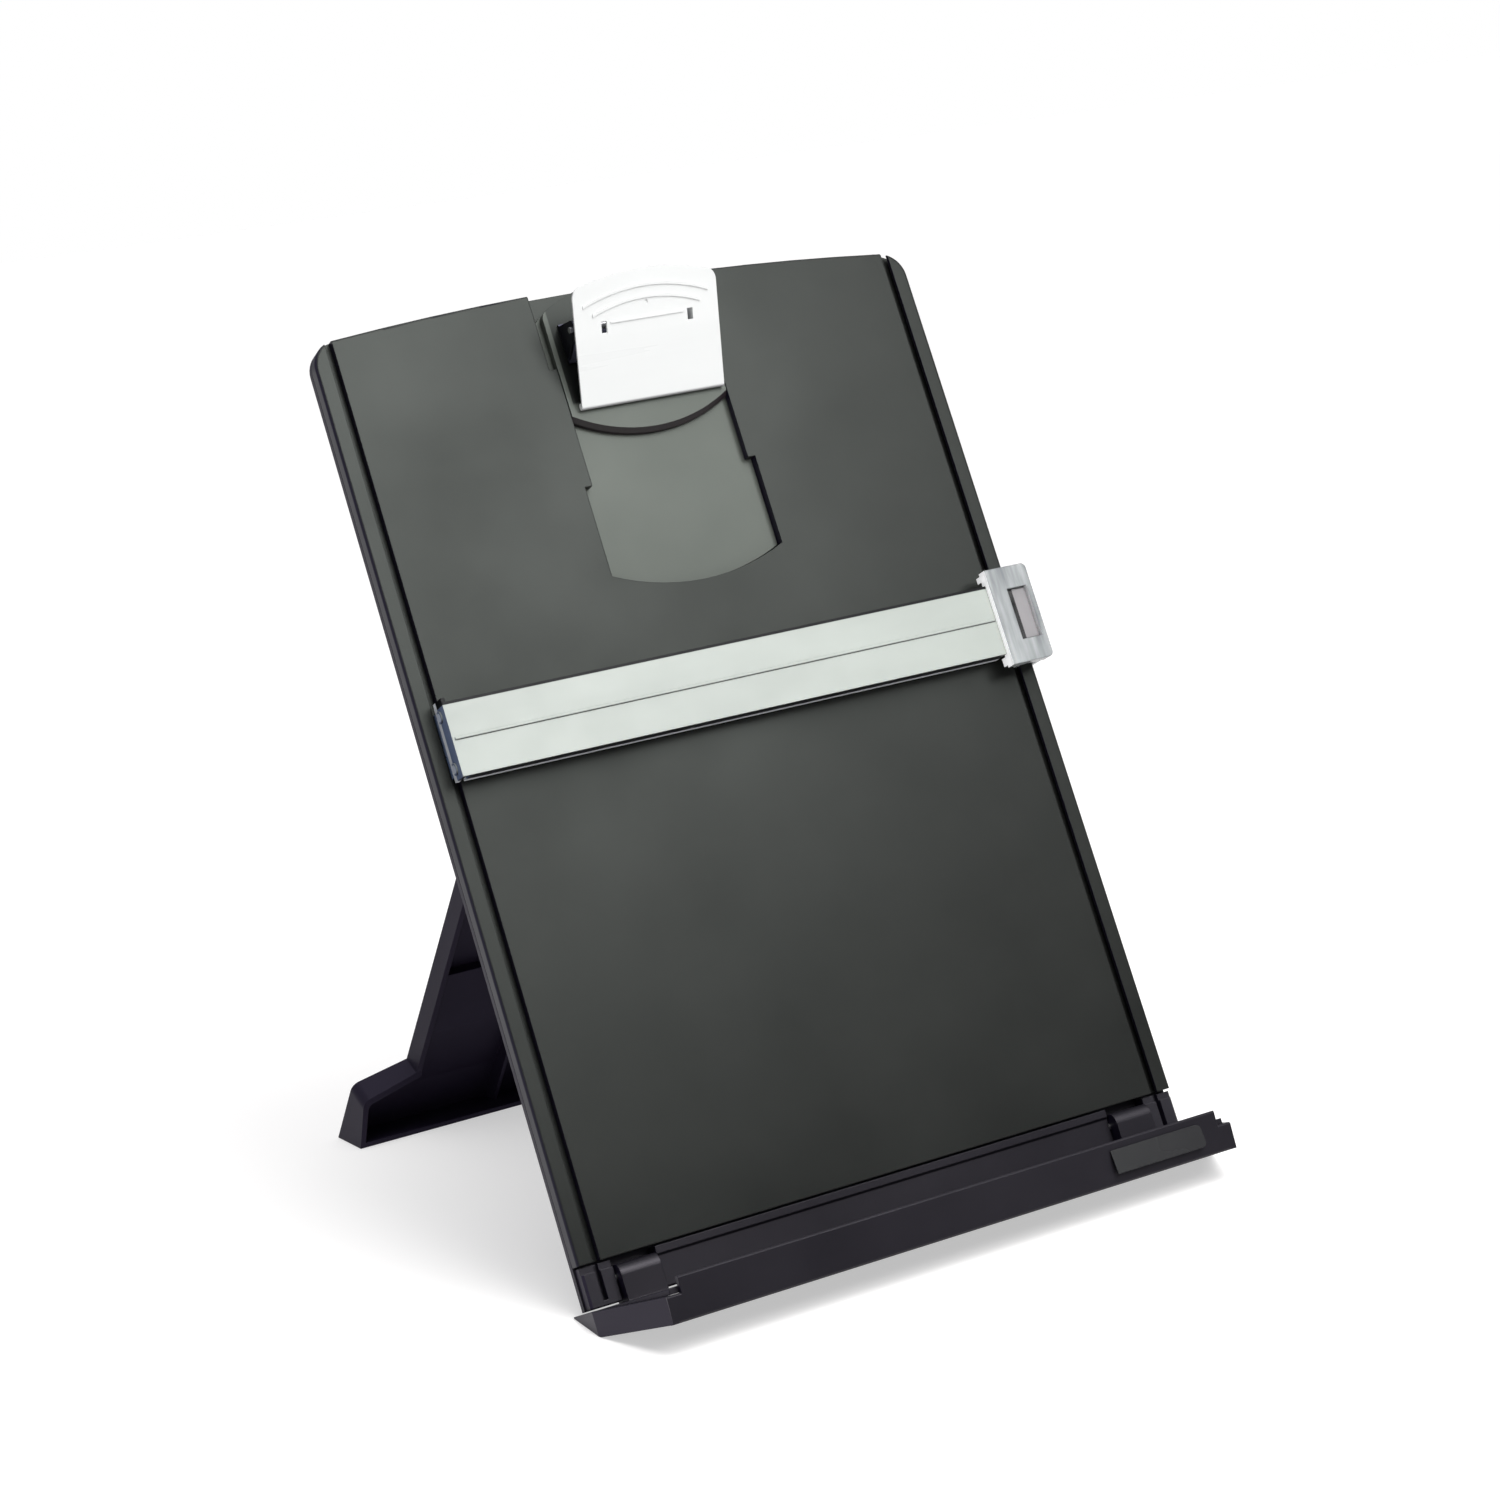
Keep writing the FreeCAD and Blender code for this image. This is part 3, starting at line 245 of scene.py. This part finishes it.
def moulded(name, dark, light, rough, grain, edge=0.0004, facing=None, sheen=GREENISH, painted_shade=None):
    """Satin moulded plastic with a spark-eroded grain and faint uneven gloss, and optional painted light on
    the faces that look one way and a zone of painted shade.
    """
    nodes = Nodes(name)
    colour = nodes.tint(nodes.noise(CLOUDS, detail=5.0), dark, light)
    # Painted light or shade on the faces that look one way
    if facing:
        colour = nodes.shade_facing(colour, *facing)
    # Painted shade in a zone, in another colour
    if painted_shade:
        nodes.zone(colour, *painted_shade)
    nodes.rough(nodes.noise(SMUDGES, detail=5.0), rough - 0.05, rough + 0.06)
    nodes.bump(nodes.noise(SPARK_GRAIN, detail=2.0), grain, edge)
    nodes.set("IOR", PLASTIC_INDEX)
    nodes.set("Specular IOR Level", SATIN_SHEEN)
    nodes.set("Specular Tint", (*sheen, 1))
    return nodes.material


def frosted(name, dark, light, rough, through, streaks=(40.0, (0.3, 1.0, 1.0)), edge=0.0003, facing=(),
            zones=(), glow=None, dull=None):
    """Half clear plastic, with other colours on some faces and in some zones, mostly painted light and
    shade.
    """
    nodes = Nodes(name)
    streak_scale, stretch = streaks
    colour = nodes.tint(nodes.noise(streak_scale, detail=3.0, stretch=stretch), dark, light)
    for side in facing:
        colour = nodes.shade_facing(colour, *side)
    for zone in zones:
        colour = nodes.zone(colour, *zone)
    nodes.rough(nodes.noise(FROST_SMUDGES, detail=4.0), rough - 0.03, rough + 0.05)
    nodes.bump(nodes.noise(FROST_GRAIN, detail=2.0), FROST_RELIEF, edge)
    nodes.set("Transmission Weight", through)
    nodes.set("IOR", ACRYLIC_INDEX)
    # A painted glow: emission standing in for light on some faces
    if glow:
        nodes.painted_glow_facing(*glow)
    if dull:
        nodes.dull_past(dull)
    return nodes.material


def metal(name, dark, light, rough, stretch, metallic=1.0, grain=0.06, facing=None):
    """Drawn or stamped metal with fine lines along the rolling direction, and optional painted shade on the
    faces that look one way.
    """
    nodes = Nodes(name)
    lines = nodes.noise(METAL_LINES, detail=4.0, stretch=stretch)
    colour = nodes.tint(lines, dark, light)
    # Painted shade on the faces that look one way
    if facing:
        nodes.shade_facing(colour, *facing)
    nodes.rough(lines, rough - 0.05, rough + 0.07)
    nodes.bump(lines, grain, METAL_EDGE)
    nodes.set("Metallic", metallic)
    return nodes.material


# Directions, and places on the board: where a colour starts, and the width over which it fades in

LEFT = (-1.0, 0.0, 0.0)
RIGHT = (1.0, 0.0, 0.0)
DOWN_FACE = tuple(-FACE_UP)
UP_ZERO = FACE_UP.dot(face_origin)
OUT_ZERO = FACE_OUT.dot(face_origin)


def above(height, fade):
    return (tuple(FACE_UP), UP_ZERO + height, UP_ZERO + height + fade)


def right_of(place, fade):
    return (RIGHT, place, place + fade)


def left_of(place, fade):
    return (LEFT, -place, fade - place)


def nearer_board(distance, fade):
    return (tuple(-FACE_OUT), -OUT_ZERO - distance, fade - OUT_ZERO - distance)


# Zones in another colour: the places that they lie past, and the colour.
# Painted shade under the lever: black from the jaw up and inside the base's left rim.
LEVER_PAINTED_SHADE = ((above(0.2935, 0.001), right_of(-0.0296, 0.0003)), (0.001, 0.001, 0.001))
# The line guide has painted shade along its top edge, and a painted highlight on the foot of its lower wall
GUIDE_TOP = above(0.1940, 0.0002)
GUIDE_TOP_PAINTED_SHADE = ((GUIDE_TOP,), (0.003, 0.003, 0.004))
GUIDE_FOOT_PAINTED_HIGHLIGHT = ((nearer_board(0.0037, 0.0002),), (0.72, 0.75, 0.78))
# The board's dark edge shows through the slider's window
BOARD_STRIPE = ((left_of(0.1140, 0.0001),), (0.004, 0.004, 0.005))

# Sides with painted light and shade in another colour: where they look, the colour, and the cosines between
# which it fades in
# Painted light: a violet tint on the left faces of the board, ledge and cover, where bluish light falls
BOARD_LEFT_PAINTED_LIGHT = (LEFT, (0.012, 0.009, 0.022), 0.2, 0.8)
COVER_LEFT_PAINTED_LIGHT = (LEFT, (0.013, 0.010, 0.024), 0.2, 0.8)
# Painted shade on the down-facing rims of the tongue and the clip base
TONGUE_UNDERSIDE_PAINTED_SHADE = (DOWN_FACE, (0.015, 0.011, 0.013), 0.3, 0.6)
# Painted shade on the guide's down-facing lower wall, and painted bluish light on its left faces
GUIDE_UNDERSIDE_PAINTED_SHADE = (DOWN_FACE, (0.012, 0.011, 0.015), 0.3, 0.8)
GUIDE_LEFT_PAINTED_LIGHT = (LEFT, (0.12, 0.16, 0.27), 0.3, 0.8)
# Painted highlight on the slider's left-facing wall
SLIDER_LEFT_PAINTED_HIGHLIGHT = (LEFT, (0.97, 0.98, 1.0), 0.3, 0.8)
# Painted shade on the lever's down-facing jaw
LEVER_JAW_PAINTED_SHADE = (DOWN_FACE, (0.30, 0.30, 0.31), 0.25, 0.95)

# Painted glow standing in for light on the slider's left wall: where it looks, the cosines, the strength,
# and the place
SLIDER_WALL_PAINTED_GLOW = (LEFT, 0.5, 0.9, 0.5, left_of(0.1105, 0.0001))

# The tongue and the base above it share their two colours
TONGUE_DARK = (0.060, 0.066, 0.058)
TONGUE_LIGHT = (0.070, 0.076, 0.067)

# A material's darker and lighter colour follow its name. Its edge is the radius, in metres, that
# its edges look rounded by.
BOARD = moulded("board_plastic", (0.0060, 0.0060, 0.0058), (0.0092, 0.0092, 0.0088), rough=0.36, grain=0.14,
                edge=0.0005, facing=BOARD_LEFT_PAINTED_LIGHT)
COVER = moulded("cover_plastic", (0.008, 0.0075, 0.010), (0.012, 0.0115, 0.015), rough=0.46, grain=0.2,
                facing=COVER_LEFT_PAINTED_LIGHT, sheen=DUSK)
LEDGE = moulded("ledge_plastic", (0.0050, 0.0045, 0.0066), (0.0085, 0.0077, 0.0105), rough=0.38, grain=0.16,
                facing=BOARD_LEFT_PAINTED_LIGHT, sheen=DUSK)
# Painted light: the leg's violet tint stands in for the bluish light seen on its left faces
LEG = moulded("leg_plastic", (0.011, 0.008, 0.018), (0.017, 0.013, 0.026), rough=0.5, grain=0.2,
              edge=0.0006, sheen=VIOLET)
LABEL = moulded("label_film", (0.012, 0.011, 0.013), (0.017, 0.016, 0.018), rough=0.24, grain=0.05,
                edge=0.0002)
CARRIAGE = moulded("carriage_plastic", TONGUE_DARK, TONGUE_LIGHT, rough=0.36, grain=0.1,
                   edge=0.0003, facing=TONGUE_UNDERSIDE_PAINTED_SHADE)
BASE = moulded("base_plastic", TONGUE_DARK, TONGUE_LIGHT, rough=0.36, grain=0.1,
               edge=0.0003, facing=TONGUE_UNDERSIDE_PAINTED_SHADE, painted_shade=LEVER_PAINTED_SHADE)
PAD = moulded("pad_rubber", (0.02, 0.02, 0.02), (0.03, 0.03, 0.03), rough=0.8, grain=0.3)

SHOE = frosted("shoe_plastic", (0.10, 0.14, 0.24), (0.16, 0.21, 0.33), rough=0.25, through=0.3)
RIVET = frosted("rivet_plastic", (0.50, 0.55, 0.66), (0.60, 0.65, 0.74), rough=0.3, through=0.3)
GUIDE = frosted("frosted_clear", (0.335, 0.365, 0.335), (0.385, 0.42, 0.385), rough=0.32, through=0.2,
                facing=(GUIDE_UNDERSIDE_PAINTED_SHADE, GUIDE_LEFT_PAINTED_LIGHT), zones=(GUIDE_TOP_PAINTED_SHADE, GUIDE_FOOT_PAINTED_HIGHLIGHT),
                dull=GUIDE_TOP)
CLEAR = frosted("clear_plastic", (0.12, 0.135, 0.145), (0.40, 0.42, 0.42), rough=0.22, through=0.25,
                streaks=(260.0, (1.0, 0.12, 0.12)), edge=0.0006, facing=(SLIDER_LEFT_PAINTED_HIGHLIGHT,), glow=SLIDER_WALL_PAINTED_GLOW)
TINTED = frosted("tinted_plastic", (0.40, 0.385, 0.395), (0.55, 0.53, 0.54), rough=0.1, through=0.6,
                 streaks=(90.0, (1.0, 0.3, 0.3)), zones=(BOARD_STRIPE,))

LEVER = metal("white_metal", (0.78, 0.795, 0.78), (0.83, 0.845, 0.83), rough=0.30, stretch=(0.06, 1.0, 1.0),
              metallic=0.0, grain=0.02, facing=LEVER_JAW_PAINTED_SHADE)
STEEL = metal("steel", (0.55, 0.55, 0.56), (0.66, 0.66, 0.67), rough=0.3, stretch=(1.0, 0.1, 0.1))
SPRING = metal("spring_steel", (0.42, 0.46, 0.60), (0.55, 0.58, 0.70), rough=0.28, stretch=(1.0, 0.2, 0.2))
BRACKET = metal("bracket_steel", (0.03, 0.03, 0.045), (0.06, 0.06, 0.08), rough=0.35,
                stretch=(1.0, 0.2, 0.2))
SCREW = metal("screw_steel", (0.14, 0.14, 0.15), (0.22, 0.22, 0.23), rough=0.35, stretch=(0.2, 1.0, 1.0))

finishes = {
    "front_board": BOARD,
    "rear_cover": COVER,
    "hinge_rail": LEDGE,
    "ledge": LEDGE,
    "label_plate": LABEL,
    "rear_leg": LEG,
    "clip_carriage": CARRIAGE,
    "clip_base": BASE,
    "clip_lever": LEVER,
    "clip_bracket": BRACKET,
    "clip_hinge_pin": STEEL,
    "clip_spring": SPRING,
    "carriage_detent_spring": SPRING,
    "cover_screws": SCREW,
    "rail_screws": SCREW,
    "clip_base_screws": SCREW,
    "slider_screws": SCREW,
    "ledge_hinge_pins": STEEL,
    "leg_hinge_pin": STEEL,
    "line_guide": GUIDE,
    "guide_left_shoe": SHOE,
    "shoe_rivets": RIVET,
    "guide_slider": CLEAR,
    "slider_thumb_insert": TINTED,
    "slider_rear_hook": CLEAR,
    "guide_brake_pad": PAD,
}
for name, material in finishes.items():
    mesh = frame["nodes"][name].data
    mesh.materials.clear()
    mesh.materials.append(material)


# Torsion spring of the clip, wound smoothly in place of the coarse coils

COIL_RADIUS = 0.0023
COIL_WIRE = 0.00045
COIL_PITCH = 0.00115
COIL_TURNS = 4
COIL_STEPS = 16
COIL_STARTS = {"clip_spring_left": -0.0076, "clip_spring_right": 0.003}


def spring_coil(name, left):
    curve = bpy.data.curves.new(name, "CURVE")
    curve.dimensions = "3D"
    curve.bevel_depth = COIL_WIRE
    curve.bevel_resolution = 3
    curve.use_fill_caps = True
    spline = curve.splines.new("NURBS")
    spline.points.add(COIL_TURNS * COIL_STEPS)
    for index, point in enumerate(spline.points):
        turn = index / COIL_STEPS
        angle = 2 * math.pi * turn
        spot = on_face(left + COIL_PITCH * turn, CLIP_PIN_UP + COIL_RADIUS * math.cos(angle),
                       CLIP_PIN_OUT + COIL_RADIUS * math.sin(angle))
        point.co = (*spot, 1)
    spline.order_u = 3
    spline.use_endpoint_u = True
    coil = bpy.data.objects.new(name, curve)
    bpy.context.scene.collection.objects.link(coil)
    curve.materials.append(SPRING)
    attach(coil, "carriage")
    return coil


coils = [spring_coil(name, CLIP_RIGHT + start) for name, start in COIL_STARTS.items()]
for coil in coils:
    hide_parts("clip_spring")


# Studio

FLOOR_COLOUR = (0.58, 0.57, 0.56, 1)
FLOOR_GLOW = 0.3
FLOOR_GLOW_SEEN = 0.5
FLOOR_HALF = 12.0
FLOOR_DROP = 0.0002
WHITE = (1, 1, 1, 1)
ROOM_COLOUR = (0.92, 0.93, 1.0, 1)
ROOM_LEVEL = 0.3
SUN_FROM = (0.15, -0.2, 1.0)
SUN_STRENGTH = 2.0
SUN_WIDTH = 50.0
# The softbox's place, seen from the face: right, up and out
SOFTBOX_SPOT = (0.27, 0.64, 1.04)
SOFTBOX_TARGET = (0, 0.15, 0)
SOFTBOX_SIZE = (0.75, 0.85)
SOFTBOX_POWER = 15.5


def floor_material():
    """Matt floor with a glow, brighter to the camera, so that it ends in white around its soft shadow."""
    material = bpy.data.materials.new("studio_floor")
    material.use_nodes = True
    tree = material.node_tree
    tree.nodes.clear()
    output = tree.nodes.new("ShaderNodeOutputMaterial")
    diffuse = tree.nodes.new("ShaderNodeBsdfDiffuse")
    diffuse.inputs["Color"].default_value = FLOOR_COLOUR
    glow = tree.nodes.new("ShaderNodeEmission")
    glow.inputs["Color"].default_value = WHITE
    path = tree.nodes.new("ShaderNodeLightPath")
    level = tree.nodes.new("ShaderNodeMapRange")
    level.inputs["To Min"].default_value = FLOOR_GLOW
    level.inputs["To Max"].default_value = FLOOR_GLOW_SEEN
    tree.links.new(path.outputs["Is Camera Ray"], level.inputs["Value"])
    tree.links.new(level.outputs["Result"], glow.inputs["Strength"])
    add = tree.nodes.new("ShaderNodeAddShader")
    tree.links.new(diffuse.outputs[0], add.inputs[0])
    tree.links.new(glow.outputs[0], add.inputs[1])
    tree.links.new(add.outputs[0], output.inputs["Surface"])
    return material


def make_floor():
    mesh = bpy.data.meshes.new("floor")
    corners = [(-FLOOR_HALF, -FLOOR_HALF, 0), (FLOOR_HALF, -FLOOR_HALF, 0), (FLOOR_HALF, FLOOR_HALF, 0),
               (-FLOOR_HALF, FLOOR_HALF, 0)]
    mesh.from_pydata(corners, [], [(0, 1, 2, 3)])
    floor = bpy.data.objects.new("floor", mesh)
    floor.location.z = cad_box[0][2] - FLOOR_DROP
    bpy.context.scene.collection.objects.link(floor)
    mesh.materials.append(floor_material())


def add_light(name, data, spot, target):
    light = bpy.data.objects.new(name, data)
    bpy.context.scene.collection.objects.link(light)
    light.location = spot
    light.rotation_euler = (Vector(target) - Vector(spot)).to_track_quat("-Z", "Y").to_euler()


def make_lights():
    key = bpy.data.lights.new("key_sun", "SUN")
    key.energy = SUN_STRENGTH
    key.angle = math.radians(SUN_WIDTH)
    add_light("key_sun", key, SUN_FROM, (0, 0, 0))
    softbox = bpy.data.lights.new("top_softbox", "AREA")
    softbox.shape = "RECTANGLE"
    softbox.size, softbox.size_y = SOFTBOX_SIZE
    softbox.energy = SOFTBOX_POWER
    add_light("top_softbox", softbox, on_face(*SOFTBOX_SPOT), on_face(*SOFTBOX_TARGET))


def make_world():
    """White to the camera, and a dim cool room to every other ray."""
    world = bpy.data.worlds.new("studio")
    bpy.context.scene.world = world
    world.use_nodes = True
    tree = world.node_tree
    tree.nodes.clear()
    output = tree.nodes.new("ShaderNodeOutputWorld")
    seen = tree.nodes.new("ShaderNodeBackground")
    seen.inputs["Color"].default_value = WHITE
    seen.inputs["Strength"].default_value = 1.0
    room = tree.nodes.new("ShaderNodeBackground")
    room.inputs["Color"].default_value = ROOM_COLOUR
    room.inputs["Strength"].default_value = ROOM_LEVEL
    path = tree.nodes.new("ShaderNodeLightPath")
    mix = tree.nodes.new("ShaderNodeMixShader")
    tree.links.new(path.outputs["Is Camera Ray"], mix.inputs[0])
    tree.links.new(room.outputs[0], mix.inputs[1])
    tree.links.new(seen.outputs[0], mix.inputs[2])
    tree.links.new(mix.outputs[0], output.inputs["Surface"])


make_floor()
make_world()
make_lights()

# Camera, placed as seen from the board: right, down and forward directions in face axes
CAMERA_SPOT = (-0.47677, -0.01125, 0.99832)
CAMERA_RIGHT = (0.88233353, -0.2908239, 0.37001217)
CAMERA_DOWN = (-0.20407334, -0.94488273, -0.2560287)
CAMERA_FORWARD = (0.42407737, 0.15039309, -0.89305112)
CAMERA_LENS = 75.34


def face_direction(parts):
    return FACE_RIGHT * parts[0] + FACE_UP * parts[1] + FACE_OUT * parts[2]


def make_camera():
    data = bpy.data.cameras.new("camera")
    data.sensor_width = 36.0
    data.lens = CAMERA_LENS
    data.clip_end = 60.0
    camera = bpy.data.objects.new("camera", data)
    bpy.context.scene.collection.objects.link(camera)
    right = face_direction(CAMERA_RIGHT)
    up = -face_direction(CAMERA_DOWN)
    back = -face_direction(CAMERA_FORWARD)
    rotation = Matrix((right, up, back)).transposed().to_4x4()
    camera.matrix_world = Matrix.Translation(on_face(*CAMERA_SPOT)) @ rotation
    bpy.context.scene.camera = camera


make_camera()
bpy.context.scene.view_settings.view_transform = "Standard"
